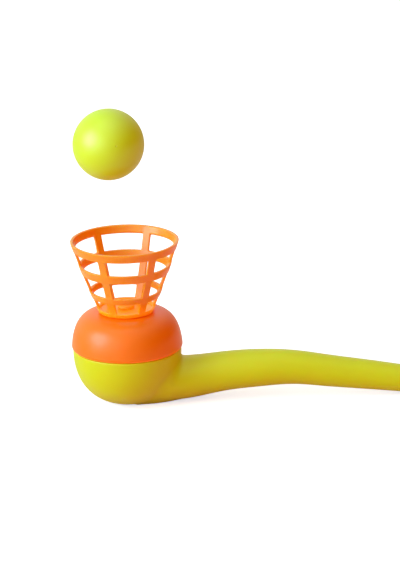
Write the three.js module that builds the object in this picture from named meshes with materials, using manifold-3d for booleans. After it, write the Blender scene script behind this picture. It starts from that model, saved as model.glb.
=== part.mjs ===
// Blow ball pipe toy: blow into the stem and the jet from the bowl lifts a hollow ball out of a basket.
// Millimetres, +Z up. The origin is the middle of the flat foot under the bowl; the stem runs along +X.
import * as THREE from 'three';
import { mergeVertices } from 'three/addons/utils/BufferGeometryUtils.js';
import Module from 'manifold-3d';

const wasm = await Module();
wasm.setup();

// Shared sizes
const seatGap = 0.3;
const overrun = 2;
const roundSides = 48;
const fullTurn = 2 * Math.PI;

// Bowl of the pipe body
const bowlRadius = 19.2;
const bowlDepth = 19.85;
const bowlSquareness = 2.35;
const bodyWall = 1.1;
const footRadius = 5;
const bowlSteps = 8;

// Neck that the dome snaps over
const neckSetBack = 1.0;
const neckHeight = 4.0;
const neckLead = 0.5;
const snapHeight = 2.2;
const snapHalfWidth = 0.6;
const snapRise = 0.35;

// Stem and mouthpiece
const stemReach = 118;
const stemCrest = 10.8;
const stemRootRadius = 7.75;
const mouthHalfWidth = 6.0;
const lipRise = 0.6;
const lipLength = 4.2;
const lipRound = 0.7;
const stemSides = 24;
const stemSteps = 20;
const lipSteps = 5;
const rootFillet = 2.4;
const filletSink = 0.12;
const filletSteps = 4;
// Each row: along the reach, centre height over the crest, half height and half width over the root radius
const stemShares = [
  [0.050, 0.768, 1.010, 1.010],
  [0.175, 0.746, 0.972, 0.980],
  [0.284, 0.907, 0.906, 0.915],
  [0.392, 1.000, 0.864, 0.868],
  [0.500, 0.996, 0.783, 0.783],
  [0.593, 0.867, 0.735, 0.735],
  [0.746, 0.653, 0.665, 0.668],
  [0.882, 0.469, 0.580, 0.655],
  [1.000, 0.398, 0.470, mouthHalfWidth / stemRootRadius],
];

// Dome that closes the bowl
const domeOverlap = 0.5;
const domeRise = 12.9;
const domeFlatMargin = 0.05;
const domeWall = 1.2;
const domeBossRadius = 4.4;
const domeBossDrop = 1.8;
const domeSteps = 9;
const domeSideDraftShare = 0.975;
const domeSideRiseShare = 0.45;
const domeShoulderShare = 0.91;

// Basket on the dome
const ribCount = 6;
const ribTurn = THREE.MathUtils.degToRad(4);
const ribWidth = 2.9;
const ribRecess = 0.15;
const cageWall = 1.15;
const cageBaseRadius = 9.75;
const cageTopRadius = 19.2;
const cageHeight = 25.9;
const cageBelly = 0.4;
const baseRingHeight = 1.6;
const cageFloor = 0.8;
const hoopEdge = 0.3;
const windowRound = 0.5;
const windowRoundSteps = 2;
const cageSides = 9 * ribCount;
// Top edge of each hoop over the height of the basket, with the height of its band
const hoops = [
  { topShare: 0.309, band: 2.2 },
  { topShare: 0.675, band: 2.9 },
  { topShare: 1, band: 2.85 },
];

// Air nozzle that rivets the basket to the dome
const nozzleHeadRadius = 3.0;
const nozzleHeadHeight = 1.3;
const nozzleHeadRound = 0.9;
const nozzleSpigotRadius = 2.1;
const nozzleBoreRadius = 1.1;
const nozzleBarbRise = 0.45;
const nozzleBarbLength = 1.4;
const nozzleSides = 24;
const nozzleRoundSteps = 3;

// Ball and the line that it floats along
const ballRadius = 12.5;
const ballWall = 0.5;
const ballPinRadius = 0.3;
const ballSides = 32;
const ballSteps = 16;
const ballInnerSteps = 8;
const ballFloatRise = 45.5;
const ballFloatDrift = -4.6;
const ballPinDirection = new THREE.Vector3(0.24, -0.95, 0.2).normalize();

// Radii and heights worked out from the sizes above
const neckRadius = bowlRadius - neckSetBack;
const domeRadius = bowlRadius + domeOverlap;
const domeFlatRadius = cageBaseRadius + domeFlatMargin;
const rimHeight = bowlDepth + seatGap;
const domeTop = rimHeight + domeRise;
const cageBottom = domeTop + seatGap;
const floorTop = cageBottom + cageFloor;
const nozzleHeadBottom = floorTop + seatGap;
const nozzleTop = nozzleHeadBottom + nozzleHeadHeight;
const ballSeatHeight = nozzleTop + seatGap + ballRadius;
const nozzleHoleRadius = nozzleSpigotRadius + seatGap;

// Closed mesh to a solid, with its faces turned outwards
function solidOf(geometry) {
  geometry.deleteAttribute('normal');
  geometry.deleteAttribute('uv');
  const merged = mergeVertices(geometry);
  const triVerts = new Uint32Array(merged.index.array);
  const vertProperties = new Float32Array(merged.attributes.position.array);
  if (signedVolume(vertProperties, triVerts) < 0) {
    for (let i = 0; i < triVerts.length; i += 3) {
      const first = triVerts[i];
      triVerts[i] = triVerts[i + 1];
      triVerts[i + 1] = first;
    }
  }
  return new wasm.Manifold(new wasm.Mesh({ numProp: 3, vertProperties, triVerts }));
}

function signedVolume(places, corners) {
  const corner = (i) => new THREE.Vector3().fromArray(places, corners[i] * 3);
  let sixfold = 0;
  for (let i = 0; i < corners.length; i += 3) {
    sixfold += corner(i).dot(corner(i + 1).cross(corner(i + 2)));
  }
  return sixfold / 6;
}

// Solid back to a mesh with its name and material
function meshOf(name, solid, material) {
  const mesh = solid.getMesh();
  const geometry = new THREE.BufferGeometry();
  geometry.setAttribute('position', new THREE.BufferAttribute(mesh.vertProperties, 3));
  geometry.setIndex(new THREE.BufferAttribute(mesh.triVerts, 1));
  geometry.computeVertexNormals();
  const part = new THREE.Mesh(geometry, material);
  part.name = name;
  return part;
}

// Profile of radius and height turned about Z
function turned(profile, sides) {
  const points = profile.map(([radius, height]) => new THREE.Vector2(radius, height));
  return solidOf(new THREE.LatheGeometry(points, sides).rotateX(fullTurn / 4));
}

// Rings of equal count joined in order, with both ends closed by fans
function lofted(rings) {
  const count = rings[0].length;
  const places = rings.flat().flatMap((p) => [p.x, p.y, p.z]);
  const corners = [];
  for (let ring = 0; ring + 1 < rings.length; ring += 1) {
    for (let side = 0; side < count; side += 1) {
      const next = (side + 1) % count;
      const a = ring * count + side;
      const b = ring * count + next;
      corners.push(a, b, b + count, a, b + count, a + count);
    }
  }
  const closeEnd = (ring, reversed) => {
    const middle = new THREE.Vector3();
    rings[ring].forEach((p) => middle.addScaledVector(p, 1 / count));
    const hub = places.length / 3;
    places.push(middle.x, middle.y, middle.z);
    for (let side = 0; side < count; side += 1) {
      const a = ring * count + side;
      const b = ring * count + (side + 1) % count;
      corners.push(...(reversed ? [hub, b, a] : [hub, a, b]));
    }
  };
  closeEnd(0, true);
  closeEnd(rings.length - 1, false);
  const geometry = new THREE.BufferGeometry();
  geometry.setAttribute('position', new THREE.Float32BufferAttribute(places, 3));
  geometry.setIndex(corners);
  return solidOf(geometry);
}

// Lower bowl as a rounded square curve, its flat foot at zero height
function bowlOutline(inset) {
  const radius = bowlRadius - inset;
  const flat = footRadius - inset / 2;
  const fall = (share) => (1 - share ** bowlSquareness) ** (1 / bowlSquareness);
  const depth = (bowlDepth - inset) / fall(flat / radius);
  const start = Math.asin(flat / radius);
  const outline = [];
  for (let step = 0; step <= bowlSteps; step += 1) {
    const share = Math.sin(start + (fullTurn / 4 - start) * step / bowlSteps);
    outline.push([radius * share, bowlDepth - depth * fall(share)]);
  }
  return outline;
}

function bowlRadiusAt(height) {
  const outline = bowlOutline(0);
  const above = outline.findIndex(([, level]) => level >= height);
  if (above <= 0) return above < 0 ? bowlRadius : footRadius;
  const [lowRadius, low] = outline[above - 1];
  const [highRadius, high] = outline[above];
  return THREE.MathUtils.mapLinear(height, low, high, lowRadius, highRadius);
}

// Snap bead shared by the neck and, moved out by the gap, by the groove in the dome
function snapBead(radius) {
  const middle = bowlDepth + snapHeight;
  return [
    [radius, middle - snapHalfWidth],
    [radius + snapRise, middle],
    [radius, middle + snapHalfWidth],
  ];
}

// Stem section at one place along it, grown or shrunk by an offset
const stemPath = new THREE.CatmullRomCurve3(stemShares.map(([along, height]) => (
  new THREE.Vector3(along * stemReach, 0, height * stemCrest)
)), false, 'catmullrom');
const stemGirth = new THREE.CatmullRomCurve3(stemShares.map(([, , tall, wide]) => (
  new THREE.Vector3(tall * stemRootRadius, wide * stemRootRadius, 0)
)), false, 'catmullrom');
const across = new THREE.Vector3(0, 1, 0);

function stemRing(t, offset, shift = 0) {
  const along = stemPath.getTangent(t);
  const upward = new THREE.Vector3().crossVectors(along, across);
  const centre = stemPath.getPoint(t).addScaledVector(along, shift);
  const girth = stemGirth.getPoint(t);
  const ring = [];
  for (let side = 0; side < stemSides; side += 1) {
    const angle = fullTurn * side / stemSides;
    ring.push(centre.clone()
      .addScaledVector(upward, (girth.x + offset) * Math.sin(angle))
      .addScaledVector(across, (girth.y + offset) * Math.cos(angle)));
  }
  return ring;
}

// Raised lip near the tip, with a rounded end
function lipOffset(fromTip) {
  const bulge = fromTip < lipLength ? lipRise * Math.sin(Math.PI * fromTip / lipLength) : 0;
  const back = Math.max(lipRound - fromTip, 0);
  return bulge - (lipRound - Math.sqrt(lipRound ** 2 - back ** 2));
}

function stemSolid() {
  const rings = [];
  for (let step = 0; step <= stemSteps; step += 1) {
    const t = step / stemSteps;
    const fromTip = stemPath.getPoint(1).distanceTo(stemPath.getPoint(t));
    if (fromTip > lipLength) rings.push(stemRing(t, 0));
  }
  for (let step = 0; step <= lipSteps; step += 1) {
    const fromTip = lipLength * (1 - Math.sin(fullTurn / 4 * step / lipSteps));
    rings.push(stemRing(1, lipOffset(fromTip), -fromTip));
  }
  return lofted(rings);
}

function stemBore() {
  const rings = [];
  for (let step = 0; step <= stemSteps; step += 1) {
    rings.push(stemRing(step / stemSteps, -bodyWall));
  }
  rings.push(stemRing(1, -bodyWall, overrun));
  return lofted(rings);
}

// Fillet where the stem leaves the bowl, full on top and fading out towards the underside
function rootFilletSolid() {
  const rootPlace = 1 / (stemShares.length - 1);
  const stemSurface = stemRing(rootPlace, 0);
  const section = (offset, push) => stemRing(rootPlace, offset).map((grown, side) => {
    const fade = (1 + Math.sin(fullTurn * side / stemSides)) / 2;
    const place = offset > 0 ? stemSurface[side].clone().lerp(grown, fade) : grown;
    const reach = Math.sqrt(Math.max(bowlRadiusAt(place.z) ** 2 - place.y ** 2, 0));
    return new THREE.Vector3(reach + push, place.y, place.z);
  });
  const rings = [section(rootFillet, -bodyWall / 2)];
  for (let step = 0; step <= filletSteps; step += 1) {
    const angle = fullTurn / 4 * step / filletSteps;
    const offset = rootFillet * (1 - Math.sin(angle)) - filletSink;
    rings.push(section(offset, rootFillet * (1 - Math.cos(angle)) - filletSink));
  }
  rings.push(section(-bodyWall / 2, rootFillet));
  return lofted(rings);
}

// Pipe body: bowl, stem and mouthpiece blown in one piece, open at the neck and at the tip
function pipeBody(material) {
  const neckTop = bowlDepth + neckHeight;
  const bowl = turned([
    [0, 0],
    ...bowlOutline(0),
    [neckRadius, bowlDepth],
    ...snapBead(neckRadius),
    [neckRadius, neckTop - neckLead],
    [neckRadius - neckLead, neckTop],
    [0, neckTop],
  ], roundSides);
  const cavity = turned([
    [0, bodyWall],
    ...bowlOutline(bodyWall).slice(0, -1),
    [neckRadius - bodyWall, bowlDepth],
    [neckRadius - bodyWall, neckTop + overrun],
    [0, neckTop + overrun],
  ], roundSides);
  const hollow = cavity.add(stemBore());
  return meshOf('pipe_body', bowl.add(stemSolid()).add(rootFilletSolid()).subtract(hollow), material);
}

// Dome: a cap whose skirt laps the rim of the bowl, with a bossed hole in its flat top
function bowlDome(material) {
  const side = new THREE.CubicBezierCurve(
    new THREE.Vector2(domeRadius, rimHeight),
    new THREE.Vector2(domeRadius * domeSideDraftShare, rimHeight + domeRise * domeSideRiseShare),
    new THREE.Vector2(domeRadius * domeShoulderShare, domeTop),
    new THREE.Vector2(domeFlatRadius, domeTop),
  );
  const outside = side.getPoints(domeSteps);
  const stopHeight = bowlDepth + neckHeight + seatGap;
  const inside = outside.map((point, step) => {
    const along = side.getTangent(step / domeSteps);
    return [point.x - along.y * domeWall, point.y + along.x * domeWall];
  }).filter(([, height]) => height > stopHeight);
  const skirtRadius = neckRadius + seatGap;
  const bossBottom = domeTop - domeWall - domeBossDrop;
  return meshOf('bowl_dome', turned([
    ...outside.map((point) => [point.x, point.y]),
    [nozzleHoleRadius, domeTop],
    [nozzleHoleRadius, bossBottom],
    [domeBossRadius, bossBottom],
    [domeBossRadius, domeTop - domeWall],
    ...inside.reverse(),
    [inside.at(-1)[0], stopHeight],
    [skirtRadius, stopHeight],
    ...snapBead(skirtRadius).reverse(),
    [skirtRadius, rimHeight],
    [domeRadius, rimHeight],
  ], roundSides), material);
}

// Outer radius of the basket at a height, bellied a little between its ends
function cageRadiusAt(height) {
  const share = (height - cageBottom) / cageHeight;
  const straight = THREE.MathUtils.lerp(cageBaseRadius, cageTopRadius, share);
  return straight + cageBelly * Math.sin(Math.PI * share);
}

// Hoop and base bands as pairs of bottom and top heights
function cageBands() {
  const bands = [[cageBottom, cageBottom + baseRingHeight]];
  hoops.forEach(({ topShare, band }) => {
    const top = cageBottom + topShare * cageHeight;
    bands.push([top - band, top]);
  });
  return bands;
}

// Cutter for one window: a rounded outline that widens outwards, so that its ribs keep their width
function windowCutter(low, high, angle) {
  const halfSector = fullTurn / (2 * ribCount);
  const ring = (radius) => {
    const half = radius * Math.tan(halfSector) - ribWidth / (2 * Math.cos(halfSector));
    const corners = [[half, high, 0], [-half, high, 1], [-half, low, 2], [half, low, 3]];
    return corners.flatMap(([x, z, quarter]) => {
      const centreX = x - Math.sign(x) * windowRound;
      const centreZ = z === high ? high - windowRound : low + windowRound;
      const arc = [];
      for (let step = 0; step <= windowRoundSteps; step += 1) {
        const turn = fullTurn / 4 * (quarter + step / windowRoundSteps);
        arc.push(new THREE.Vector3(
          radius,
          centreX + windowRound * Math.cos(turn),
          centreZ + windowRound * Math.sin(turn),
        ).applyAxisAngle(new THREE.Vector3(0, 0, 1), angle));
      }
      return arc;
    });
  };
  const innerRadius = (cageRadiusAt(low) - cageWall) * Math.cos(halfSector) - overrun;
  return lofted([ring(innerRadius), ring(cageTopRadius + overrun)]);
}

// Basket: a pierced cone of hoops and ribs on a ringed floor
function basket(material) {
  const bands = cageBands();
  const outside = [];
  const inside = [];
  bands.forEach(([low, high], band) => {
    const first = band === 0;
    outside.push([cageRadiusAt(low) - hoopEdge, low], [cageRadiusAt(low + hoopEdge), low + hoopEdge]);
    outside.push([cageRadiusAt(high - hoopEdge), high - hoopEdge], [cageRadiusAt(high) - hoopEdge, high]);
    if (!first) inside.push([cageRadiusAt(low) - cageWall, low]);
    inside.push([cageRadiusAt(high) - cageWall, high]);
    const above = bands[band + 1];
    if (above) {
      outside.push([cageRadiusAt(high + hoopEdge) - ribRecess, high + hoopEdge]);
      outside.push([cageRadiusAt(above[0] - hoopEdge) - ribRecess, above[0] - hoopEdge]);
    }
  });
  const floorEdge = cageRadiusAt(floorTop) - cageWall;
  let cage = turned([
    [nozzleHoleRadius, cageBottom],
    ...outside,
    ...inside.reverse(),
    [floorEdge, floorTop],
    [nozzleHoleRadius, floorTop],
    [nozzleHoleRadius, cageBottom],
  ], cageSides);
  for (let row = 0; row + 1 < bands.length; row += 1) {
    for (let rib = 0; rib < ribCount; rib += 1) {
      const angle = ribTurn + fullTurn * (rib + 1 / 2) / ribCount;
      cage = cage.subtract(windowCutter(bands[row][1], bands[row + 1][0], angle));
    }
  }
  return meshOf('basket', cage, material);
}

// Air nozzle: a rounded head on a bored spigot, barbed below the boss of the dome
function airNozzle(material) {
  const round = [];
  for (let step = 0; step <= nozzleRoundSteps; step += 1) {
    const angle = fullTurn / 4 * step / nozzleRoundSteps;
    round.push([
      nozzleHeadRadius - nozzleHeadRound * (1 - Math.cos(angle)),
      nozzleTop - nozzleHeadRound * (1 - Math.sin(angle)),
    ]);
  }
  const barbTop = domeTop - domeWall - domeBossDrop - seatGap;
  const bottom = barbTop - nozzleBarbLength;
  return meshOf('air_nozzle', turned([
    [nozzleBoreRadius, bottom],
    [nozzleSpigotRadius - nozzleBarbRise, bottom],
    [nozzleHoleRadius + nozzleBarbRise, barbTop],
    [nozzleSpigotRadius, barbTop],
    [nozzleSpigotRadius, nozzleHeadBottom],
    [nozzleHeadRadius, nozzleHeadBottom],
    ...round,
    [nozzleBoreRadius, nozzleTop],
    [nozzleBoreRadius, bottom],
  ], nozzleSides), material);
}

// Ball: a thin blown shell with the pinhole of its moulding, shown hovering over the basket
function ball(material) {
  const innerRadius = ballRadius - ballWall;
  const arc = (radius, steps) => {
    const from = -fullTurn / 4;
    const to = Math.acos(ballPinRadius / radius);
    const points = [];
    for (let step = 0; step <= steps; step += 1) {
      const angle = from + (to - from) * step / steps;
      points.push([radius * Math.cos(angle), radius * Math.sin(angle)]);
    }
    points[0] = [0, -radius];
    return points;
  };
  const shell = turned([...arc(ballRadius, ballSteps), ...arc(innerRadius, ballInnerSteps).reverse()], ballSides);
  const part = meshOf('ball', shell, material);
  part.position.set(ballFloatDrift, 0, ballSeatHeight + ballFloatRise);
  part.quaternion.setFromUnitVectors(new THREE.Vector3(0, 0, 1), ballPinDirection);
  return part;
}

const plastic = (color, roughness) => new THREE.MeshStandardMaterial({ color, roughness, metalness: 0 });

const toy = new THREE.Group();
toy.add(pipeBody(plastic(0xd9d22b, 0.42)));
toy.add(bowlDome(plastic(0xff6e1c, 0.35)));
toy.add(basket(plastic(0xff8420, 0.38)));
toy.add(airNozzle(plastic(0xff8420, 0.38)));
toy.add(ball(plastic(0xd0d823, 0.4)));

export default toy;
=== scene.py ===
"""Blow ball pipe toy: satin yellow-green pipe and ball, glossier orange dome and basket.

The origin is the middle of the foot under the bowl, the bowl's axis is Z, and the stem runs along +X.
Sizes are in millimetres up to the point where MM turns them into metres.
"""

import math

import bmesh
import bpy
import numpy as np
from mathutils import Matrix, Vector


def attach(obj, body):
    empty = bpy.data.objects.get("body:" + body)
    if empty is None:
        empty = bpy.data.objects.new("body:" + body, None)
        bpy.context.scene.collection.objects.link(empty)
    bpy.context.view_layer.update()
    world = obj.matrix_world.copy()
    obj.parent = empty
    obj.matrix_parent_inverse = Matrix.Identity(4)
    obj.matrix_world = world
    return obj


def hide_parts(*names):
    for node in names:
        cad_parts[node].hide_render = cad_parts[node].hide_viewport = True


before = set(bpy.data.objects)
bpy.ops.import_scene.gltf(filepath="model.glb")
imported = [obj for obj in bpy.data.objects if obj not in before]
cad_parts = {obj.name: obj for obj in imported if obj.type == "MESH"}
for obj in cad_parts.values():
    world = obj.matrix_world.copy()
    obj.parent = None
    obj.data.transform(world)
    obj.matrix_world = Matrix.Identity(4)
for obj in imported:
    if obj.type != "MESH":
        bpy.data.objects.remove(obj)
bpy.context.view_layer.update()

MM = 0.001
FULL = 2 * math.pi

# Sizes in millimetres, as in the part
SEAT_GAP = 0.3

# Bowl, neck and stem
BOWL_RADIUS = 19.2
BOWL_DEPTH = 19.85
BOWL_SQUARENESS = 2.35
BODY_WALL = 1.1
FOOT_RADIUS = 5.0
RIM_ROUND = 0.5
NECK_RADIUS = 18.2
NECK_TOP = BOWL_DEPTH + 4.0
SNAP_MIDDLE = BOWL_DEPTH + 2.2
SNAP_HALF = 0.6
SNAP_RISE = 0.35
STEM_REACH = 118.0
STEM_CREST = 10.8
STEM_ROOT_RADIUS = 7.75
LIP_RISE = 0.6
LIP_LENGTH = 4.2
LIP_ROUND = 0.45
# Fillet between bowl and stem: small on top, wider at the sides, widest under the stem
ROOT_FILLET_TOP = 1.0
ROOT_FILLET_SIDE = 2.5
ROOT_FILLET_UNDER = 9.0
# Widening of the root to each side, where it ends along X, and the stretch inside the bowl that it grows over
ROOT_FLARE = 8.0
ROOT_FLARE_END = 32.0
ROOT_FLARE_GROWTH = 9.0
# Along the reach, centre height over the crest, half height and half width over the root radius
STEM_SHARES = (
    (0.050, 0.768, 1.010, 1.010),
    (0.175, 0.746, 0.972, 0.980),
    (0.284, 0.907, 0.906, 0.915),
    (0.392, 1.000, 0.864, 0.868),
    (0.500, 0.996, 0.783, 0.783),
    (0.593, 0.867, 0.735, 0.735),
    (0.746, 0.653, 0.665, 0.668),
    (0.882, 0.469, 0.580, 0.655),
    (1.000, 0.398, 0.470, 0.774),
)
# Below this height the skin is pressed on to the plane of the foot; the softness of the edge is in square mm
FOOT_BELOW = 6
FOOT_SOFTNESS = 0.02
# Break of the shoulder under the neck, and of the neck's top edge
SHOULDER_BREAK = 0.1
NECK_BREAK = 0.5
# Depth below the rim where the bowl's inner skin ends, and the ledge from there to the neck
HOLLOW_DEPTH = 1.2
LEDGE_DEPTH = 0.6
LEDGE_REACH = 0.5
# A place along X between the opening of the bowl and the mouth
MIDWAY = 40
# Rings of points over the body, points in a ring, and where the rings stand square to the stem
BODY_RINGS = 190
BODY_SIDES = 128
ROOT_SQUARE = 27.0
RIM_STEPS = 5
LIP_STEPS = 5
# Path of the rings: number of a part, lean of its rays off the stem in degrees, and where they start along X
RING_PARTS = (0, 1, 2, 3)
RING_LEANS = (180, 50, 90, 90)
RING_STARTS = (0, 0, ROOT_SQUARE, STEM_REACH)
RING_FIRST = 0.004
# Share of the rings by place along X, more over the bowl, fewer along the stem; trial rings and their rays
DENSITY_PLACES = (-20, 30, 50, STEM_REACH)
DENSITY_SHARES = (1.6, 1.6, 0.8, 0.8)
DENSITY_SAMPLES = 900
DENSITY_RAYS = 4
# Search along a ray: samples from first to last reach, then halvings of a span beyond the last sample inside
REACH_FIRST = 0.2
REACH_LAST = 30
REACH_SAMPLES = 75
REACH_SPAN = 0.5
HALVINGS = 24
# Samples of the stem's line, and steps that find the nearest point on it
STEM_SAMPLES = 600
NEAREST_STEPS = 3
# Keeps a division finite, and the reach within which a cut takes a point that is there already
TINY = 1e-9
CUT_REACH = 1e-5

# Dome
DOME_RADIUS = 19.7
DOME_BOTTOM = BOWL_DEPTH + SEAT_GAP
DOME_RISE = 12.9
# The skirt's edge as it shows: a little lower than in the part, and rounded
DOME_EDGE = BOWL_DEPTH + 0.1
DOME_EDGE_ROUND = 0.9
DOME_TOP = DOME_BOTTOM + DOME_RISE
DOME_FLAT_RADIUS = 9.8
DOME_WALL = 1.2
DOME_BOSS_RADIUS = 4.4
DOME_BOSS_BOTTOM = DOME_TOP - DOME_WALL - 1.8
NOZZLE_HOLE = 2.4
# The side's curve, as shares of radius and rise: how it leaves the edge, and how it turns over the shoulder
DOME_WALL_PULL = (0.975, 0.45)
DOME_SHOULDER_PULL = 0.91
DOME_STEPS = 48
DOME_SIDES = 160
# Steps at the foot of the side that give way to the rounding of the edge
DOME_EDGE_STEPS = 4
DOME_HOLE_ROUND = 0.15
DOME_BOSS_ROUND = 0.3
SKIRT_ROUND = 0.25

# Basket
RIBS = 6
RIB_TURN = math.radians(4)
RIB_WIDTH = 3.0
RIB_RECESS = 0.2
CAGE_WALL = 1.15
CAGE_BOTTOM = DOME_TOP + SEAT_GAP
CAGE_HEIGHT = 25.9
CAGE_BASE_RADIUS = 9.75
CAGE_TOP_RADIUS = 19.2
CAGE_BELLY = 0.4
CAGE_FLOOR_TOP = CAGE_BOTTOM + 0.8
# Bottom and top, above the foot of the basket, of the base ring and of the three hoops
CAGE_BANDS = ((0, 1.6), (5.5, 8.0), (14.2, 17.5), (22.7, 25.9))
# How far the inner lower edge of a hoop sits above its outer one
BAND_DRAFT = 0.7
# Rows of points that keep the smoothed form crisp: this far from an edge, from a window's corner, from a rib
EDGE_ROW = 0.32
CORNER_ROW = 0.75
WINDOW_ROW = 0.25
# Radius of the row across the floor, below and above
FLOOR_ROW = (5.8, 5.6)
# Shares of a window's height where it has rows, and its steps round from one rib to the next
WINDOW_ROWS = (0, 0.33, 0.67, 1)
WINDOW_SPANS = 8
# Faces across a rib: one narrow one at each edge and a wide one between
RIB_FACES = 3
CAGE_SMOOTHING = 2

# Nozzle
NOZZLE_HEAD_BOTTOM = CAGE_FLOOR_TOP + SEAT_GAP
NOZZLE_TOP = NOZZLE_HEAD_BOTTOM + 1.3
NOZZLE_HEAD_RADIUS = 3.0
NOZZLE_HEAD_ROUND = 0.9
NOZZLE_SEAT_ROUND = 0.12
NOZZLE_MOUTH_ROUND = 0.25
NOZZLE_TIP_ROUND = 0.15
NOZZLE_SPIGOT = 2.1
NOZZLE_BORE = 1.1
NOZZLE_BARB_TOP = DOME_BOSS_BOTTOM - SEAT_GAP
NOZZLE_BARB = 0.45
NOZZLE_BOTTOM = NOZZLE_BARB_TOP - 1.4
NOZZLE_SIDES = 64

# Ball, hovering over the basket
BALL_RADIUS = 12.5
BALL_WALL = 0.5
BALL_PIN_RADIUS = 0.12
BALL_CENTRE = Vector((-4.6, 0.0, 94.05))
BALL_PIN_DIRECTION = Vector((0.24, -0.95, 0.2)).normalized()
BALL_STEPS = 96
BALL_INNER_STEPS = 48
BALL_SIDES = 128

# Points closer than this are one point, in a smooth skin and in the basket's coarse sheet
SAME_POINT = 0.002
SAME_CAGE_POINT = 0.01
# Rounding of corners that are out of sight
SMALL_ROUND = 0.1
# Steps of a rounded corner, and how far beyond its ends a point holds the shading, as a share of its reach
ARC_STEPS = 6
ARC_GUARD = 0.35


# Helpers


def linear(code):
    """sRGB hex value as the linear colour that Blender works in."""
    channels = [int(code[i : i + 2], 16) / 255 for i in (1, 3, 5)]
    return [c / 12.92 if c <= 0.04045 else ((c + 0.055) / 1.055) ** 2.4 for c in channels] + [1.0]


def add(tree, kind, settings=None, inputs=None):
    """Adds a node with its settings; an input that is a socket is linked, any other value is set."""
    node = tree.nodes.new(kind)
    for key, value in (settings or {}).items():
        setattr(node, key, value)
    for key, value in (inputs or {}).items():
        if isinstance(value, bpy.types.NodeSocket):
            tree.links.new(value, node.inputs[key])
        else:
            node.inputs[key].default_value = value
    return node


def object_of(name, vertices, faces, attributes=None):
    """Mesh object at the origin from vertices in millimetres."""
    mesh = bpy.data.meshes.new(name)
    mesh.from_pydata((np.asarray(vertices, float) * MM).tolist(), [], faces)
    for key, values in (attributes or {}).items():
        mesh.attributes.new(key, "FLOAT", "POINT").data.foreach_set("value", np.asarray(values, np.float32))
    made = bpy.data.objects.new(name, mesh)
    bpy.context.scene.collection.objects.link(made)
    return made


def finish_piece(piece, material, body, node):
    """Smooth shading, material, and the body and node that the piece stands for."""
    piece.data.materials.clear()
    piece.data.materials.append(material)
    piece.data.shade_smooth()
    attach(piece, body)
    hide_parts(node)


def baked(piece, tree, values):
    """Runs a Geometry Nodes tree on the piece and keeps the result as a plain mesh."""
    modifier = piece.modifiers.new(tree.name, "NODES")
    modifier.node_group = tree
    sockets = {s.name: s.identifier for s in tree.interface.items_tree if s.in_out == "INPUT"}
    for key, value in values.items():
        modifier[sockets[key]] = value
    graph = bpy.context.evaluated_depsgraph_get()
    shaped = piece.evaluated_get(graph)
    mesh = bpy.data.meshes.new_from_object(shaped, preserve_all_data_layers=True, depsgraph=graph)
    piece.modifiers.remove(modifier)
    piece.data = mesh


def new_tree(name, inputs):
    """Empty Geometry Nodes tree with its named inputs, and the group's input and output nodes."""
    tree = bpy.data.node_groups.new(name, "GeometryNodeTree")
    tree.interface.new_socket("Geometry", in_out="INPUT", socket_type="NodeSocketGeometry")
    for key, kind in inputs.items():
        tree.interface.new_socket(key, in_out="INPUT", socket_type=kind)
    tree.interface.new_socket("Geometry", in_out="OUTPUT", socket_type="NodeSocketGeometry")
    return tree, tree.nodes.new("NodeGroupInput"), tree.nodes.new("NodeGroupOutput")


# Turned pieces: dome, nozzle and ball


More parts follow.
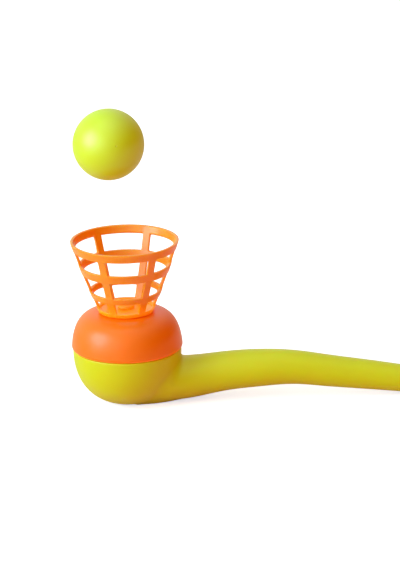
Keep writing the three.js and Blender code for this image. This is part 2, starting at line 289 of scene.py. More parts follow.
def turned_tree():
    """Turns the section, a closed loop of points in the XZ plane, about the Z axis."""
    inputs = {"Sides": "NodeSocketInt", "Material": "NodeSocketMaterial"}
    tree, given, result = new_tree("turned_section", inputs)
    section = given.outputs["Geometry"]
    sides = given.outputs["Sides"]
    size = add(tree, "GeometryNodeAttributeDomainSize", {"component": "MESH"}, {0: section})
    count = size.outputs["Point Count"]
    columns = add(tree, "ShaderNodeMath", {"operation": "ADD"}, {0: sides, 1: 1.0}).outputs[0]
    rows = add(tree, "ShaderNodeMath", {"operation": "ADD"}, {0: count, 1: 1.0}).outputs[0]
    grid = add(
        tree,
        "GeometryNodeMeshGrid",
        None,
        {"Size X": sides, "Size Y": count, "Vertices X": columns, "Vertices Y": rows},
    ).outputs["Mesh"]
    # Column and row of each point of the grid; the last row meets the first one again
    here = add(tree, "GeometryNodeInputPosition").outputs[0]
    place = add(tree, "ShaderNodeSeparateXYZ", None, {0: here})
    x, y = place.outputs["X"], place.outputs["Y"]
    half_sides = add(tree, "ShaderNodeMath", {"operation": "MULTIPLY"}, {0: sides, 1: 0.5}).outputs[0]
    half_count = add(tree, "ShaderNodeMath", {"operation": "MULTIPLY"}, {0: count, 1: 0.5}).outputs[0]
    column = add(tree, "ShaderNodeMath", {"operation": "ADD"}, {0: x, 1: half_sides}).outputs[0]
    row = add(tree, "ShaderNodeMath", {"operation": "ADD"}, {0: y, 1: half_count}).outputs[0]
    whole = add(tree, "ShaderNodeMath", {"operation": "ROUND"}, {0: row}).outputs[0]
    index = add(tree, "ShaderNodeMath", {"operation": "FLOORED_MODULO"}, {0: whole, 1: count}).outputs[0]
    point = add(
        tree,
        "GeometryNodeSampleIndex",
        {"data_type": "FLOAT_VECTOR", "domain": "POINT"},
        {"Geometry": section, "Value": here, "Index": index},
    ).outputs[0]
    share = add(tree, "ShaderNodeMath", {"operation": "DIVIDE"}, {0: column, 1: sides}).outputs[0]
    angle = add(tree, "ShaderNodeMath", {"operation": "MULTIPLY"}, {0: share, 1: FULL}).outputs[0]
    turn = add(
        tree, "ShaderNodeVectorRotate", {"rotation_type": "Z_AXIS"}, {"Vector": point, "Angle": angle}
    ).outputs[0]
    wrapped = add(tree, "GeometryNodeSetPosition", None, {"Geometry": grid, "Position": turn}).outputs[0]
    joint = SAME_POINT * MM
    closed = add(
        tree, "GeometryNodeMergeByDistance", None, {"Geometry": wrapped, "Distance": joint}
    ).outputs[0]
    real = add(tree, "GeometryNodeRealizeInstances", None, {"Geometry": closed}).outputs[0]
    paint = given.outputs["Material"]
    painted = add(tree, "GeometryNodeSetMaterial", None, {"Geometry": real, "Material": paint}).outputs[0]
    tree.links.new(painted, result.inputs[0])
    return tree


def rounded(corners):
    """Closed section whose corners, given as radius, height and rounding, are turned into arcs."""
    points = []
    count = len(corners)
    for i, (r, z, rounding) in enumerate(corners):
        here = np.array((r, z), float)
        if rounding <= 0:
            points.append(here)
            continue
        before = np.array(corners[i - 1][:2], float) - here
        after = np.array(corners[(i + 1) % count][:2], float) - here
        before /= np.linalg.norm(before)
        after /= np.linalg.norm(after)
        half = math.acos(float(np.clip(before @ after, -1, 1))) / 2
        reach = rounding / math.tan(half)
        middle = here + (before + after) / np.linalg.norm(before + after) * rounding / math.sin(half)
        start = here + before * reach
        end = here + after * reach
        points.append(start + before * reach * ARC_GUARD)
        first = start - middle
        last = end - middle
        sweep = math.acos(float(np.clip(first @ last / rounding**2, -1, 1)))
        for step in range(ARC_STEPS + 1):
            share = step / ARC_STEPS
            spoke = first * math.sin((1 - share) * sweep) + last * math.sin(share * sweep)
            points.append(middle + spoke / math.sin(sweep))
        points.append(end + after * reach * ARC_GUARD)
    return [tuple(p) for p in points]


def turned(name, section, sides, material):
    """Piece turned from a closed section of radius and height."""
    points = [(r, 0.0, z) for r, z in section]
    piece = object_of(name, points, [])
    baked(piece, TURNED_TREE, {"Sides": sides, "Material": material})
    outward(piece)
    return piece


def outward(piece):
    """Points the faces of a closed piece outwards."""
    form = bmesh.new()
    form.from_mesh(piece.data)
    bmesh.ops.recalc_face_normals(form, faces=form.faces)
    form.to_mesh(piece.data)
    form.free()


def bezier(points, steps):
    """Points of a cubic curve with its tangents."""
    p = np.array(points, float)
    t = np.linspace(0, 1, steps + 1)[:, None]
    u = 1 - t
    place = u**3 * p[0] + 3 * u**2 * t * p[1] + 3 * u * t**2 * p[2] + t**3 * p[3]
    along = 3 * u**2 * (p[1] - p[0]) + 6 * u * t * (p[2] - p[1]) + 3 * t**2 * (p[3] - p[2])
    return place, along / np.linalg.norm(along, axis=1, keepdims=True)


def dome_section():
    """Wall of the dome with its skirt, snap groove, stop ledge and bossed hole."""
    inwards, upwards = DOME_WALL_PULL
    side = (
        (DOME_RADIUS, DOME_BOTTOM),
        (DOME_RADIUS * inwards, DOME_BOTTOM + DOME_RISE * upwards),
        (DOME_RADIUS * DOME_SHOULDER_PULL, DOME_TOP),
        (DOME_FLAT_RADIUS, DOME_TOP),
    )
    outside, along = bezier(side, DOME_STEPS)
    inside = outside + np.stack([-along[:, 1], along[:, 0]], 1) * DOME_WALL
    stop = NECK_TOP + SEAT_GAP
    inside = inside[inside[:, 1] > stop][::-1]
    skirt = NECK_RADIUS + SEAT_GAP
    corners = [(r, z, 0) for r, z in outside[DOME_EDGE_STEPS:]]
    corners += [
        (NOZZLE_HOLE, DOME_TOP, DOME_HOLE_ROUND),
        (NOZZLE_HOLE, DOME_BOSS_BOTTOM, DOME_HOLE_ROUND),
        (DOME_BOSS_RADIUS, DOME_BOSS_BOTTOM, DOME_BOSS_ROUND),
        (DOME_BOSS_RADIUS, DOME_TOP - DOME_WALL, DOME_BOSS_ROUND),
    ]
    corners += [(r, z, 0) for r, z in inside]
    corners += [
        (inside[-1][0], stop, SMALL_ROUND),
        (skirt, stop, SMALL_ROUND),
        (skirt, SNAP_MIDDLE + SNAP_HALF, 0),
        (skirt + SNAP_RISE, SNAP_MIDDLE, 0),
        (skirt, SNAP_MIDDLE - SNAP_HALF, 0),
        (skirt, DOME_EDGE, SKIRT_ROUND),
        (DOME_RADIUS, DOME_EDGE, DOME_EDGE_ROUND),
    ]
    return rounded(corners)


def nozzle_section():
    """Rounded head, spigot and barb round the bore."""
    return rounded(
        [
            (NOZZLE_BORE, NOZZLE_BOTTOM, SMALL_ROUND),
            (NOZZLE_SPIGOT - NOZZLE_BARB, NOZZLE_BOTTOM, NOZZLE_TIP_ROUND),
            (NOZZLE_HOLE + NOZZLE_BARB, NOZZLE_BARB_TOP, SMALL_ROUND),
            (NOZZLE_SPIGOT, NOZZLE_BARB_TOP, SMALL_ROUND),
            (NOZZLE_SPIGOT, NOZZLE_HEAD_BOTTOM, SMALL_ROUND),
            (NOZZLE_HEAD_RADIUS, NOZZLE_HEAD_BOTTOM, NOZZLE_SEAT_ROUND),
            (NOZZLE_HEAD_RADIUS, NOZZLE_TOP, NOZZLE_HEAD_ROUND),
            (NOZZLE_BORE, NOZZLE_TOP, NOZZLE_MOUTH_ROUND),
        ]
    )


def ball_section():
    """Shell with the pinhole of its moulding at the top."""

    def half_circle(radius, steps):
        start = math.asin(BALL_PIN_RADIUS / radius)
        angles = [start + (math.pi - start) * step / steps for step in range(steps)]
        return [(radius * math.sin(a), radius * math.cos(a)) for a in angles] + [(0.0, -radius)]

    outer = half_circle(BALL_RADIUS, BALL_STEPS)
    inner = half_circle(BALL_RADIUS - BALL_WALL, BALL_INNER_STEPS)
    return outer + inner[::-1]


# Basket


def cage_radius(height):
    """Outer radius of the basket: a cone with a slight belly."""
    share = (height - CAGE_BOTTOM) / CAGE_HEIGHT
    cone = CAGE_BASE_RADIUS + (CAGE_TOP_RADIUS - CAGE_BASE_RADIUS) * share
    return cone + CAGE_BELLY * math.sin(math.pi * share)


def cage_rows():
    """Rows of the wall from the hole in the floor to the top: outer point, inner point, window above."""
    edge, corner = EDGE_ROW, CORNER_ROW
    rows = [
        ((NOZZLE_HOLE, CAGE_BOTTOM), (NOZZLE_HOLE, CAGE_FLOOR_TOP), False),
        ((NOZZLE_HOLE + edge, CAGE_BOTTOM), (NOZZLE_HOLE + edge, CAGE_FLOOR_TOP), False),
        ((FLOOR_ROW[0], CAGE_BOTTOM), (FLOOR_ROW[1], CAGE_FLOOR_TOP), False),
    ]
    inner_corner = cage_radius(CAGE_FLOOR_TOP) - CAGE_WALL
    rows.append(((CAGE_BASE_RADIUS - edge, CAGE_BOTTOM), (inner_corner - edge, CAGE_FLOOR_TOP), False))
    rows.append(((CAGE_BASE_RADIUS, CAGE_BOTTOM), (inner_corner, CAGE_FLOOR_TOP), False))

    def wall(height, recess=0.0, window=False, inner_height=None):
        inner_height = height if inner_height is None else inner_height
        outer = (cage_radius(height) - recess, height)
        inner = (cage_radius(inner_height) - CAGE_WALL, inner_height)
        return outer, inner, window

    bands = [(CAGE_BOTTOM + low, CAGE_BOTTOM + high) for low, high in CAGE_BANDS]
    for band, (low, high) in enumerate(bands):
        if band == 0:
            rows.append(wall(low + edge, inner_height=CAGE_FLOOR_TOP + edge / 2))
        else:
            rows.append(wall(low, inner_height=low + BAND_DRAFT))
            rows.append(wall(low + edge, inner_height=low + BAND_DRAFT + edge))
        rows.append(wall(high - edge))
        if band + 1 == len(bands):
            rows.append(wall(high))
            break
        rows.append(wall(high, window=True))
        above = bands[band + 1][0]
        for share in WINDOW_ROWS:
            height = high + corner + (above - high - 2 * corner) * share
            rows.append(wall(height, recess=RIB_RECESS, window=True))
    return rows


def rib_sector():
    """One rib with the window beside it: a sheet of quads with the step to its inner face at each point."""
    half = RIB_WIDTH / 2
    # Each column: an offset along the wall, and the share of the way to the next rib that it starts from
    columns = [(-half, 0), (-half + EDGE_ROW, 0), (half - EDGE_ROW, 0), (half, 0), (half + WINDOW_ROW, 0)]
    for span in range(WINDOW_SPANS + 1):
        share = span / WINDOW_SPANS
        columns.append(((half + CORNER_ROW) * (1 - 2 * share), share))
    columns += [(-half - WINDOW_ROW, 1), (-half, 1)]
    rows = cage_rows()
    vertices, faces, inward, upward = [], [], [], []
    for (r_out, z_out), (r_in, z_in), _ in rows:
        for offset, share in columns:
            angle = share * FULL / RIBS + math.asin(offset / max(r_out, CAGE_BASE_RADIUS))
            vertices.append((r_out * math.cos(angle), r_out * math.sin(angle), z_out))
            inward.append((r_in - r_out) * MM)
            upward.append((z_in - z_out) * MM)
    width = len(columns)
    for row in range(len(rows) - 1):
        for column in range(width - 1):
            if rows[row][2] and column >= RIB_FACES:
                continue
            a = row * width + column
            faces.append((a, a + width, a + width + 1, a + 1))
    return object_of("basket", vertices, faces, {"inward": inward, "upward": upward})


def basket_tree():
    """Repeats the rib sector round the axis, gives the sheet its thickness and rounds every edge."""
    inputs = {
        "Ribs": "NodeSocketInt",
        "Rib Turn": "NodeSocketFloat",
        "Smoothing": "NodeSocketInt",
        "Material": "NodeSocketMaterial",
    }
    tree, given, result = new_tree("ribs_and_hoops", inputs)
    ribs = given.outputs["Ribs"]
    spots = add(tree, "GeometryNodeMeshLine", None, {"Count": ribs, "Offset": (0, 0, 0)}).outputs[0]
    number = add(tree, "GeometryNodeInputIndex").outputs[0]
    step = add(tree, "ShaderNodeMath", {"operation": "DIVIDE"}, {0: FULL, 1: ribs}).outputs[0]
    first = given.outputs["Rib Turn"]
    turn = add(
        tree, "ShaderNodeMath", {"operation": "MULTIPLY_ADD"}, {0: number, 1: step, 2: first}
    ).outputs[0]
    rotation = add(tree, "ShaderNodeCombineXYZ", None, {"Z": turn}).outputs[0]
    ring = add(
        tree,
        "GeometryNodeInstanceOnPoints",
        None,
        {"Points": spots, "Instance": given.outputs["Geometry"], "Rotation": rotation},
    ).outputs[0]
    real = add(tree, "GeometryNodeRealizeInstances", None, {"Geometry": ring}).outputs[0]
    joint = SAME_CAGE_POINT * MM
    sheet = add(
        tree, "GeometryNodeMergeByDistance", None, {"Geometry": real, "Distance": joint}
    ).outputs[0]
    walls = add(
        tree,
        "GeometryNodeExtrudeMesh",
        {"mode": "FACES"},
        {"Mesh": sheet, "Offset Scale": 0.0, "Individual": False},
    )
    # The far side of the sheet moves to the inner face by the steps that its points carry
    place = add(tree, "GeometryNodeInputPosition").outputs[0]
    flat = add(
        tree, "ShaderNodeVectorMath", {"operation": "MULTIPLY"}, {0: place, 1: (1, 1, 0)}
    ).outputs[0]
    radial = add(tree, "ShaderNodeVectorMath", {"operation": "NORMALIZE"}, {0: flat}).outputs[0]
    inward, upward = (
        add(tree, "GeometryNodeInputNamedAttribute", {"data_type": "FLOAT"}, {"Name": name}).outputs[0]
        for name in ("inward", "upward")
    )
    across = add(
        tree, "ShaderNodeVectorMath", {"operation": "SCALE"}, {0: radial, "Scale": inward}
    ).outputs[0]
    rise = add(tree, "ShaderNodeCombineXYZ", None, {"Z": upward}).outputs[0]
    shift = add(tree, "ShaderNodeVectorMath", {"operation": "ADD"}, {0: across, 1: rise}).outputs[0]
    thick = add(
        tree,
        "GeometryNodeSetPosition",
        None,
        {"Geometry": walls.outputs["Mesh"], "Selection": walls.outputs["Top"], "Offset": shift},
    ).outputs[0]
    back = add(tree, "GeometryNodeFlipFaces", None, {"Mesh": sheet}).outputs[0]
    both = add(tree, "GeometryNodeJoinGeometry")
    tree.links.new(thick, both.inputs[0])
    tree.links.new(back, both.inputs[0])
    closed = add(
        tree, "GeometryNodeMergeByDistance", None, {"Geometry": both.outputs[0], "Distance": joint}
    ).outputs[0]
    level = given.outputs["Smoothing"]
    soft = add(tree, "GeometryNodeSubdivisionSurface", None, {"Mesh": closed, "Level": level}).outputs[0]
    plain = add(tree, "GeometryNodeRealizeInstances", None, {"Geometry": soft}).outputs[0]
    paint = given.outputs["Material"]
    painted = add(tree, "GeometryNodeSetMaterial", None, {"Geometry": plain, "Material": paint}).outputs[0]
    tree.links.new(painted, result.inputs[0])
    return tree


# Pipe body


def natural_spline(knots, values, at):
    """Smooth curve through the values, straight at its ends."""
    count = len(knots)
    gaps = np.diff(knots)
    system = np.eye(count)
    target = np.zeros(count)
    for i in range(1, count - 1):
        system[i, i - 1 : i + 2] = (gaps[i - 1], 2 * (gaps[i - 1] + gaps[i]), gaps[i])
        ahead = (values[i + 1] - values[i]) / gaps[i]
        behind = (values[i] - values[i - 1]) / gaps[i - 1]
        target[i] = 6 * (ahead - behind)
    bend = np.linalg.solve(system, target)
    i = np.clip(np.searchsorted(knots, at) - 1, 0, count - 2)
    gap, left, right = gaps[i], at - knots[i], knots[i + 1] - at
    rise = (values[i + 1] - values[i]) / gap
    curve = (bend[i] * right**3 + bend[i + 1] * left**3) / (6 * gap) + values[i] + rise * left
    return curve - gap * (bend[i] * right + bend[i + 1] * left) / 6


STATIONS = np.array(STEM_SHARES)
STEM_X = np.linspace(STATIONS[0, 0] * STEM_REACH, STEM_REACH, STEM_SAMPLES)
KNOTS = STATIONS[:, 0] * STEM_REACH
STEM_Z = natural_spline(KNOTS, STATIONS[:, 1] * STEM_CREST, STEM_X)
STEM_TALL = natural_spline(KNOTS, STATIONS[:, 2] * STEM_ROOT_RADIUS, STEM_X)
STEM_WIDE = natural_spline(KNOTS, STATIONS[:, 3] * STEM_ROOT_RADIUS, STEM_X)
STEM_SLOPE = np.gradient(STEM_Z, STEM_X)


def lip_bulge(x):
    """Raised lip that the mouth closes round, just short of the tip."""
    share = np.clip((STEM_REACH - x) / LIP_LENGTH, 0, 1)
    return LIP_RISE * np.sin(np.pi * share) ** 2


def stem_distance(p):
    """Distance from the skin of the stem, negative inside it, and how far up round the stem a point lies."""
    x = p[..., 0]
    for _ in range(NEAREST_STEPS):
        z = np.interp(x, STEM_X, STEM_Z)
        slope = np.interp(x, STEM_X, STEM_SLOPE)
        x = x + ((p[..., 0] - x) + (p[..., 2] - z) * slope) / (1 + slope**2)
    slope = np.interp(x, STEM_X, STEM_SLOPE)
    above = p[..., 2] - np.interp(x, STEM_X, STEM_Z)
    rise = (above - (p[..., 0] - x) * slope) / np.sqrt(1 + slope**2)
    side = p[..., 1]
    bulge = lip_bulge(x)
    fading = np.clip((ROOT_FLARE_END - x) / (ROOT_FLARE_END - STEM_X[0]), 0, 1) ** 2
    growing = np.clip((x - STEM_X[0]) / ROOT_FLARE_GROWTH, 0, 1)
    flare = ROOT_FLARE * fading * growing
    tall = np.interp(x, STEM_X, STEM_TALL) + bulge
    wide = np.interp(x, STEM_X, STEM_WIDE) + bulge + flare
    share = np.sqrt((side / wide) ** 2 + (rise / tall) ** 2) + TINY
    steep = np.sqrt((side / wide**2) ** 2 + (rise / tall**2) ** 2) / share + TINY
    root = STEM_X[0] - p[..., 0]
    return np.maximum((share - 1) / steep, root), rise / (np.hypot(side, rise) + TINY)


def bowl_distance(p):
    """Distance from the skin of the bowl, a rounded square turned about Z, negative inside it."""
    n = BOWL_SQUARENESS
    depth = BOWL_DEPTH / (1 - (FOOT_RADIUS / BOWL_RADIUS) ** n) ** (1 / n)
    out = np.hypot(p[..., 0], p[..., 1]) / BOWL_RADIUS + TINY
    down = np.clip((BOWL_DEPTH - p[..., 2]) / depth, 0, None)
    share = (out**n + down**n) ** (1 / n)
    steep = np.hypot(out ** (n - 1) / BOWL_RADIUS, down ** (n - 1) / depth) * share ** (1 - n)
    return (share - 1) / steep


def body_distance(p):
    """Bowl and stem run together through a fillet whose size changes round the stem."""
    bowl = bowl_distance(p)
    stem, upness = stem_distance(p)
    top = (ROOT_FILLET_TOP - ROOT_FILLET_SIDE) * np.clip(upness, 0, 1) ** 2
    under = (ROOT_FILLET_UNDER - ROOT_FILLET_SIDE) * np.clip(-upness, 0, 1) ** 4
    fillet = ROOT_FILLET_SIDE + top + under
    blend = np.hypot(np.clip(fillet - bowl, 0, None), np.clip(fillet - stem, 0, None))
    return np.maximum(fillet, np.minimum(bowl, stem)) - blend


def ray_family(q, around):
    """Origins and directions of rings of rays: round the bowl, over the root and along the stem.

    From 0 to 1 a ring's rays fan out from the bowl's middle, from straight back to 50 degrees off the stem.
    From 1 to 2 they turn square to the stem while their middle moves along it.
    From 2 to 3 they run to its tip.
    """
    q = np.asarray(q, float)
    lean = np.interp(q, RING_PARTS, RING_LEANS)
    x = np.interp(q, RING_PARTS, RING_STARTS)
    z = np.interp(x, STEM_X, STEM_Z)
    slope = np.interp(x, STEM_X, STEM_SLOPE) * np.clip(q - 1, 0, 1)
    along = np.stack([np.ones_like(x), 0 * x, slope], -1) / np.sqrt(1 + slope**2)[:, None]
    up = np.stack([-along[:, 2], 0 * x, along[:, 0]], -1)
    phi = FULL * np.arange(around) / around
    sideways = np.cos(phi)[None, :, None] * np.array((0.0, 1.0, 0.0))
    upwards = np.sin(phi)[None, :, None] * up[:, None, :]
    lean = np.radians(lean)[:, None, None]
    direction = np.cos(lean) * along[:, None, :] + np.sin(lean) * (sideways + upwards)
    return np.stack([x, 0 * x, z], -1)[:, None, :], direction


def meet(origin, direction, level):
    """Outermost points of the rays where the distance from the skin equals the level."""
    reach = np.linspace(REACH_FIRST, REACH_LAST, REACH_SAMPLES)[:, None, None]
    inside = body_distance(origin + reach[..., None] * direction) < level
    last = inside.shape[0] - 1 - np.argmax(inside[::-1], axis=0)
    low = np.take_along_axis(np.broadcast_to(reach, inside.shape), last[None], 0)[0]
    high = low + REACH_SPAN
    for _ in range(HALVINGS):
        middle = (low + high) / 2
        within = body_distance(origin + middle[..., None] * direction) < level
        low, high = np.where(within, middle, low), np.where(within, high, middle)
    return origin + low[..., None] * direction


def ring_places(count):
    """Places of the rings that space them over the skin, closer over the bowl than along the stem."""
    dense = np.linspace(RING_FIRST, RING_PARTS[-1], DENSITY_SAMPLES)
    line = meet(*ray_family(dense, DENSITY_RAYS), 0.0)
    gaps = np.linalg.norm(np.diff(line, axis=0), axis=-1).mean(axis=1)
    weight = np.interp(line[1:, :, 0].mean(axis=1), DENSITY_PLACES, DENSITY_SHARES)
    length = np.concatenate([[0], np.cumsum(gaps * weight)])
    return np.interp(np.linspace(0, length[-1], count), length, dense)


def skin(form, rings, outer):
    """Grid of faces over the rings, with the pole closed."""
    pole = form.verts.new((2 * rings[0] - rings[1]).mean(axis=0).tolist())
    grid = [[form.verts.new(p.tolist()) for p in ring] for ring in rings]
    count = len(grid[0])
    for i in range(count):
        j = (i + 1) % count
        face = (pole, grid[0][j], grid[0][i])
        form.faces.new(face if outer else face[::-1])
        for near, far in zip(grid, grid[1:]):
            face = (near[i], near[j], far[j], far[i])
            form.faces.new(face if outer else face[::-1])


def cut_above(form, height):
    """Removes what lies above a height and returns the edges of the cut."""
    geometry = form.verts[:] + form.edges[:] + form.faces[:]
    cut = bmesh.ops.bisect_plane(
        form, geom=geometry, dist=CUT_REACH, plane_co=(0, 0, height), plane_no=(0, 0, 1), clear_outer=True
    )
    return [e for e in cut["geom_cut"] if isinstance(e, bmesh.types.BMEdge)]


def raised(form, edges, radius, height):
    """Carries the edges of a rim on to a new radius and height."""
    made = bmesh.ops.extrude_edge_only(form, edges=edges)["geom"]
    for v in made:
        if isinstance(v, bmesh.types.BMVert):
            scale = radius / math.hypot(v.co.x, v.co.y)
            v.co = (v.co.x * scale, v.co.y * scale, height)
    return [e for e in made if isinstance(e, bmesh.types.BMEdge)]


def sort_faces(form):
    """Orders the faces by their points, because an extrusion leaves them in another order each run."""
    form.verts.index_update()
    count = len(form.verts)

    def place(face):
        first, second, third = sorted(v.index for v in face.verts)[:3]
        return (first * count + second) * count + third

    form.faces.sort(key=place)


def pipe_body():
    """Bowl, stem and mouthpiece: outer skin, neck with its snap bead and inner skin, one closed wall."""
    rays = ray_family(ring_places(BODY_RINGS), BODY_SIDES)
    outer = meet(*rays, 0.0)
    inner = meet(*rays, -BODY_WALL)
    for rings, foot in ((outer, 0.0), (inner, BODY_WALL)):
        drop = rings[..., 2] - foot
        pressed = foot + (drop + np.sqrt(drop**2 + FOOT_SOFTNESS)) / 2
        rings[..., 2] = np.where(rings[..., 2] < FOOT_BELOW, pressed, rings[..., 2])
    form = bmesh.new()
    skin(form, outer, True)
    rim = cut_above(form, BOWL_DEPTH - RIM_ROUND)
    for step in range(1, RIM_STEPS + 1):
        angle = FULL / 4 * step / RIM_STEPS
        radius = BOWL_RADIUS - RIM_ROUND * (1 - math.cos(angle))
        height = BOWL_DEPTH - RIM_ROUND * (1 - math.sin(angle))
        rim = raised(form, rim, radius, height)
    inside = NECK_RADIUS - BODY_WALL
    for radius, height in (
        (NECK_RADIUS + SHOULDER_BREAK, BOWL_DEPTH),
        (NECK_RADIUS, BOWL_DEPTH + SHOULDER_BREAK),
        (NECK_RADIUS, SNAP_MIDDLE - SNAP_HALF),
        (NECK_RADIUS + SNAP_RISE, SNAP_MIDDLE),
        (NECK_RADIUS, SNAP_MIDDLE + SNAP_HALF),
        (NECK_RADIUS, NECK_TOP - NECK_BREAK),
        (NECK_RADIUS - NECK_BREAK, NECK_TOP),
        (inside, NECK_TOP),
        (inside, BOWL_DEPTH),
        (inside + LEDGE_REACH, BOWL_DEPTH - LEDGE_DEPTH),
    ):
        rim = raised(form, rim, radius, height)
    hollow = bmesh.new()
    skin(hollow, inner, False)
    cut_above(hollow, BOWL_DEPTH - HOLLOW_DEPTH)
    bridge_shells(form, hollow)
    bmesh.ops.remove_doubles(form, verts=form.verts, dist=SAME_POINT)
    bmesh.ops.recalc_face_normals(form, faces=form.faces)
    sort_faces(form)
    for v in form.verts:
        v.co *= MM
    mesh = bpy.data.meshes.new("pipe_body_skin")
    form.to_mesh(mesh)
    form.free()
    hollow.free()
    piece = bpy.data.objects.new("pipe_body_skin", mesh)
    bpy.context.scene.collection.objects.link(piece)
    return piece


def bridge_shells(form, hollow):
    """Adds the inner skin to the outer one and closes the wall at the neck and at the mouth."""
    copy = bpy.data.meshes.new("hollow")
    hollow.to_mesh(copy)
    form.from_mesh(copy)
    bpy.data.meshes.remove(copy)
    open_edges = [e for e in form.edges if e.is_boundary]
    neck = [e for e in open_edges if e.verts[0].co.x < MIDWAY]
    mouth = [e for e in open_edges if e.verts[0].co.x > MIDWAY]
    bmesh.ops.bridge_loops(form, edges=neck)
    ends = bmesh.ops.bridge_loops(form, edges=mouth)["faces"]
    rim = {e for f in ends for e in f.edges if any(g not in ends for g in e.link_faces)}
    bmesh.ops.bevel(
        form,
        geom=list(rim),
        offset=LIP_ROUND,
        segments=LIP_STEPS,
        profile=0.5,
        affect="EDGES",
        clamp_overlap=True,
    )


# Materials

# Blown and moulded walls differ in thickness over a centimetre or so, which shows as a slow change of tone
TONE_SIZE = 14
TONE_CHANGE = 0.03
# The mould's grain is about 0.2 mm, too fine for this picture, and is drawn at 1.6 mm to soften the gloss
GRAIN_SIZE = 1.6
GRAIN_DEPTH = 0.05
GRAIN_STRENGTH = 0.15
GLOSS_CHANGE = 0.03


def plastic(name, colour, roughness, gloss_level, weight, radius, scale, painted_glow=None):
    """Moulded plastic that takes light in: deeper colour in its shade, soft gloss, a faint uneven skin.

    Light travels some mm inside it, farthest in red, so shaded sides stay warm and thin walls look lit.
    The glow is painted light, an emission in the base colour that brightens a band of the piece by height
    whatever the lamps do: strength, height where full, height where gone.
    """
    made = bpy.data.materials.new(name)
    made.use_nodes = True
    tree = made.node_tree
    shader = tree.nodes["Principled BSDF"]
    place = add(tree, "ShaderNodeTexCoord").outputs["Object"]
    slow = {"Vector": place, "Scale": 1 / (TONE_SIZE * MM), "Detail": 2.0}
    cloud = add(tree, "ShaderNodeTexNoise", None, slow).outputs["Fac"]
    tone = add(
        tree,
        "ShaderNodeMapRange",
        None,
        {"Value": cloud, "To Min": 1 - TONE_CHANGE, "To Max": 1 + TONE_CHANGE},
    ).outputs[0]
    base = add(tree, "ShaderNodeHueSaturation", None, {"Color": linear(colour), "Value": tone}).outputs[0]
    tree.links.new(base, shader.inputs["Base Color"])
    fine = {"Vector": place, "Scale": 1 / (GRAIN_SIZE * MM), "Detail": 3.0}
    grain = add(tree, "ShaderNodeTexNoise", None, fine).outputs["Fac"]
    gloss = add(
        tree,
        "ShaderNodeMapRange",
        None,
        {"Value": grain, "To Min": roughness - GLOSS_CHANGE, "To Max": roughness + GLOSS_CHANGE},
    ).outputs[0]
    tree.links.new(gloss, shader.inputs["Roughness"])
    bump = add(
        tree,
        "ShaderNodeBump",
        None,
        {"Strength": GRAIN_STRENGTH, "Distance": GRAIN_DEPTH * MM, "Height": grain},
    ).outputs[0]
    tree.links.new(bump, shader.inputs["Normal"])
    shader.inputs["Specular IOR Level"].default_value = gloss_level
    shader.inputs["Subsurface Weight"].default_value = weight
    shader.inputs["Subsurface Radius"].default_value = radius
    shader.inputs["Subsurface Scale"].default_value = scale * MM
    # Painted light: the piece glows in its own colour up to one height and fades out by another, lit or not
    if painted_glow:
        strength, full, gone = painted_glow
        height = add(tree, "ShaderNodeSeparateXYZ", None, {0: place}).outputs["Z"]
        fade = {"From Min": full * MM, "From Max": gone * MM, "To Min": strength, "To Max": 0.0}
        painted_glow_strength = add(tree, "ShaderNodeMapRange", None, {"Value": height, **fade}).outputs[0]
        tree.links.new(base, shader.inputs["Emission Color"])
        tree.links.new(painted_glow_strength, shader.inputs["Emission Strength"])
    return made


# Camera, light and floor

CAMERA_DISTANCE = 1150
CAMERA_TARGET = (26.166, 0, 42.05)
# In degrees, above the horizon and about the line of sight
CAMERA_ELEVATION = 18.0
CAMERA_ROLL = -1.2
# Width of the sensor, size of a pixel at the target, and height of the picture in pixels
SENSOR = 36
PIXEL = 0.352
PICTURE_HEIGHT = 570

# Linear light colours: the open side of the room, its warm side, and the same two as gloss shows them
OPEN_LIGHT = (0.5, 0.55, 0.36)
WARM_LIGHT = (0.82, 0.06, 0.0)
OPEN_GLOSS = (1.0, 1.0, 1.0)
WARM_GLOSS = (0.25, 0.1, 0.0)
# The warm side lies this way, and the open side gives way to it between these two cosines
WARM_DIRECTION = (0.86, -0.1, -0.5)
WARM_FROM = -0.14
WARM_TO = 0.55
WHITE = (1.0, 1.0, 1.0)
# Each lamp: name, place and width in metres, power in watts, linear tint
LAMPS = (
    ("key_window_left", (-1.24, -0.55, 0.61), 1.0, 18, (0.68, 0.84, 1.0)),
    ("fill_front_left", (-0.75, -1.2, 0.55), 1.2, 3, WHITE),
    ("ceiling", (-0.15, -0.25, 1.45), 1.3, 2.5, WHITE),
)
LAMP_TARGET = (0.02, 0, 0.05)
FLOOR_REACH = 6000
# The floor's colour for the light that it gives back, its white as seen, and the cool light added to that
FLOOR_BOUNCE = "#f4a860"
FLOOR_WHITE = "#f0f0f0"
FLOOR_LIFT = "#cbd1db"


def aim_camera():
    """Long lens that looks down a little and leans a little, as in the photograph."""
    distance = CAMERA_DISTANCE * MM
    elevation = math.radians(CAMERA_ELEVATION)
    roll = math.radians(CAMERA_ROLL)
    target = Vector(CAMERA_TARGET) * MM
    back = Vector((0, -math.cos(elevation), math.sin(elevation)))
    right = Vector((1, 0, 0))
    up = back.cross(right)
    turned_right = math.cos(roll) * right + math.sin(roll) * up
    turned_up = math.cos(roll) * up - math.sin(roll) * right
    camera = bpy.data.cameras.new("camera")
    camera.lens = SENSOR * (distance / MM) / PIXEL / PICTURE_HEIGHT
    camera.clip_start = 0.05
    camera.clip_end = 20
    holder = bpy.data.objects.new("camera", camera)
    holder.matrix_world = Matrix(
        (
            (turned_right.x, turned_up.x, back.x, target.x + back.x * distance),
            (turned_right.y, turned_up.y, back.y, target.y + back.y * distance),
            (turned_right.z, turned_up.z, back.z, target.z + back.z * distance),
            (0, 0, 0, 1),
        )
    )
    bpy.context.scene.collection.objects.link(holder)
    bpy.context.scene.camera = holder


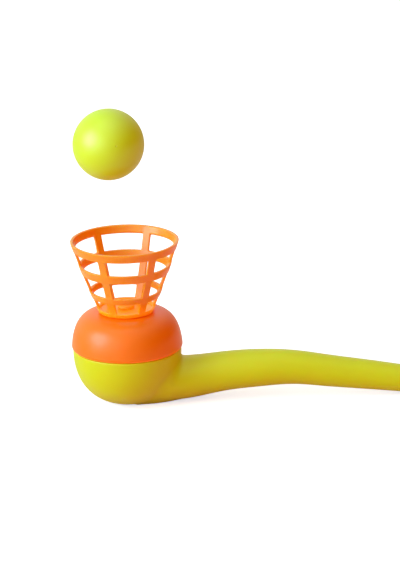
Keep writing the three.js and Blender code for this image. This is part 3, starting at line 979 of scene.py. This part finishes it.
def lamp(name, place, size, power, tint):
    """Round lamp that faces the toy."""
    light = bpy.data.lights.new(name, "AREA")
    light.shape = "DISK"
    light.size = size
    light.energy = power
    light.color = tint
    holder = bpy.data.objects.new(name, light)
    holder.location = place
    holder.rotation_mode = "QUATERNION"
    holder.rotation_quaternion = (Vector(LAMP_TARGET) - Vector(place)).to_track_quat("-Z", "Y")
    bpy.context.scene.collection.objects.link(holder)


def straight_rays(tree, path):
    """One for rays from the camera, also on their way through a clear thing, else nought."""
    straight, through = path.outputs["Is Camera Ray"], path.outputs["Is Transmission Ray"]
    return add(tree, "ShaderNodeMath", {"operation": "MAXIMUM"}, {0: straight, 1: through}).outputs[0]


def light_studio():
    """Room with its window on the left: daylight from there, warm light back from the right and below."""
    world = bpy.data.worlds.new("studio")
    bpy.context.scene.world = world
    world.use_nodes = True
    tree = world.node_tree
    path = add(tree, "ShaderNodeLightPath")
    ray = add(tree, "ShaderNodeTexCoord").outputs["Generated"]
    side = add(
        tree, "ShaderNodeVectorMath", {"operation": "DOT_PRODUCT"}, {0: ray, 1: WARM_DIRECTION}
    ).outputs["Value"]
    across = add(
        tree, "ShaderNodeMapRange", None, {"Value": side, "From Min": WARM_FROM, "From Max": WARM_TO}
    ).outputs[0]
    mixed = {"data_type": "RGBA"}
    open_light, warm_light, open_gloss, warm_gloss = (
        (*colour, 1) for colour in (OPEN_LIGHT, WARM_LIGHT, OPEN_GLOSS, WARM_GLOSS)
    )
    matt = add(tree, "ShaderNodeMix", mixed, {"Factor": across, "A": open_light, "B": warm_light}).outputs[2]
    gloss = add(tree, "ShaderNodeMix", mixed, {"Factor": across, "A": open_gloss, "B": warm_gloss}).outputs[2]
    glossy = path.outputs["Is Glossy Ray"]
    room = add(tree, "ShaderNodeMix", mixed, {"Factor": glossy, "A": matt, "B": gloss}).outputs[2]
    seen = straight_rays(tree, path)
    shown = add(tree, "ShaderNodeMix", mixed, {"Factor": seen, "A": room, "B": (*WHITE, 1)}).outputs[2]
    tree.links.new(shown, tree.nodes["Background"].inputs["Color"])
    for name, place, size, power, tint in LAMPS:
        lamp(name, place, size, power, tint)


def lay_floor():
    """White card that keeps the shadow; it gives warm light back to the toy, as the room's floor did."""
    far = FLOOR_REACH
    corners = [(-far, -far, 0), (far, -far, 0), (far, far, 0), (-far, far, 0)]
    floor = object_of("floor", corners, [(0, 1, 2, 3)])
    made = bpy.data.materials.new("white_card")
    made.use_nodes = True
    tree = made.node_tree
    shader = tree.nodes["Principled BSDF"]
    shader.inputs["Roughness"].default_value = 0.9
    path = add(tree, "ShaderNodeLightPath")
    glossy = path.outputs["Is Glossy Ray"]
    seen = straight_rays(tree, path)
    seen = add(tree, "ShaderNodeMath", {"operation": "MAXIMUM"}, {0: seen, 1: glossy}).outputs[0]
    card = add(
        tree,
        "ShaderNodeMix",
        {"data_type": "RGBA"},
        {"Factor": seen, "A": linear(FLOOR_BOUNCE), "B": linear(FLOOR_WHITE)},
    ).outputs[2]
    tree.links.new(card, shader.inputs["Base Color"])
    lift = add(tree, "ShaderNodeMath", {"operation": "SUBTRACT"}, {0: seen, 1: glossy}).outputs[0]
    shader.inputs["Emission Color"].default_value = linear(FLOOR_LIFT)
    tree.links.new(lift, shader.inputs["Emission Strength"])
    floor.data.materials.append(made)


# The toy

aim_camera()
light_studio()
lay_floor()

bpy.context.scene.view_settings.view_transform = "Standard"

TURNED_TREE = turned_tree()
# Blow-moulded polyethylene: waxy, satin, a yellow-green that turns to olive gold in its shade
PIPE_PLASTIC = plastic(
    "polyethylene_blown_satin",
    colour="#d1df08",
    roughness=0.42,
    gloss_level=0.45,
    weight=0.4,
    radius=(1.0, 0.3, 0.05),
    scale=2.0,
)
# Injection-moulded polypropylene, thicker: opaque orange, one soft highlight, and painted light on the
# skirt's lowest millimetre, a glow that stands for a highlight and lifts the shade at the seam
DOME_PLASTIC = plastic(
    "polypropylene_moulded_gloss",
    colour="#f67a00",
    roughness=0.35,
    gloss_level=0.48,
    weight=0.1,
    radius=(1.0, 0.2, 0.02),
    scale=1.0,
    painted_glow=(0.3, DOME_EDGE + 0.2, DOME_EDGE + 1.0),
)
# Thin clear-tinted polypropylene: bars that glow where light crosses them, and painted light at the foot, a
# glow that lifts the shade on the base ring and floor
BASKET_PLASTIC = plastic(
    "polypropylene_thin_clear_tint",
    colour="#ffa012",
    roughness=0.3,
    gloss_level=0.5,
    weight=1.0,
    radius=(1.0, 0.4, 0.08),
    scale=3.0,
    painted_glow=(0.24, CAGE_BOTTOM + 1, CAGE_BOTTOM + 6),
)
# Light blown polyethylene ball: a lime skin with a broad pale highlight
BALL_PLASTIC = plastic(
    "polyethylene_blown_ball",
    colour="#cbee0a",
    roughness=0.42,
    gloss_level=0.95,
    weight=0.1,
    radius=(1.0, 0.3, 0.05),
    scale=1.0,
)

body = pipe_body()
finish_piece(body, PIPE_PLASTIC, "pipe", "pipe_body")

dome = turned("bowl_dome_skin", dome_section(), DOME_SIDES, DOME_PLASTIC)
finish_piece(dome, DOME_PLASTIC, "pipe", "bowl_dome")

cage = rib_sector()
pattern = {"Ribs": RIBS, "Rib Turn": RIB_TURN, "Smoothing": CAGE_SMOOTHING, "Material": BASKET_PLASTIC}
baked(cage, basket_tree(), pattern)
cage.name = "basket_lattice"
finish_piece(cage, BASKET_PLASTIC, "pipe", "basket")

nozzle = turned("air_nozzle_head", nozzle_section(), NOZZLE_SIDES, BASKET_PLASTIC)
finish_piece(nozzle, BASKET_PLASTIC, "pipe", "air_nozzle")

# The ball is turned upright and then leaned so that its pinhole faces the front
ball = turned("ball_shell", ball_section(), BALL_SIDES, BALL_PLASTIC)
lean = Vector((0, 0, 1)).rotation_difference(BALL_PIN_DIRECTION).to_matrix().to_4x4()
ball.data.transform(Matrix.Translation(BALL_CENTRE * MM) @ lean)
finish_piece(ball, BALL_PLASTIC, "ball", "ball")
